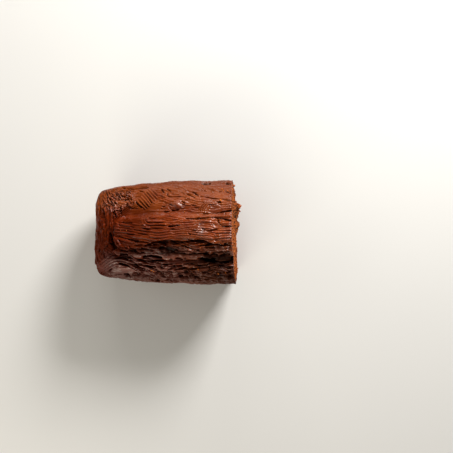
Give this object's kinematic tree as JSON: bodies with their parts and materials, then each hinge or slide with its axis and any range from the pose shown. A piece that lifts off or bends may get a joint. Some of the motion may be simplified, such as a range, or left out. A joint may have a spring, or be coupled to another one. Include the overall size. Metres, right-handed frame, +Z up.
{
  "type": "chocolate loaf cake",
  "caption": "Frosted chocolate loaf cake cut straight across at one end, with a ridged coat over the top and sides and open crumb at the cut.",
  "frame": {"origin": "middle of the object's box, at the height of its flat base", "axes": "+X along the loaf, from its rounded end to the cut; +Y across it, to the side where the top's step is slight; +Z up"},
  "size_m": [0.1574, 0.1146, 0.0903],
  "materials": {
    "sponge": "matt, porous crumb",
    "frosting": "satin to glossy, with knife strokes"
  },
  "bodies": {
    "root": {"sponge": "sponge", "frosting": "frosting"}
  },
  "joints": []
}
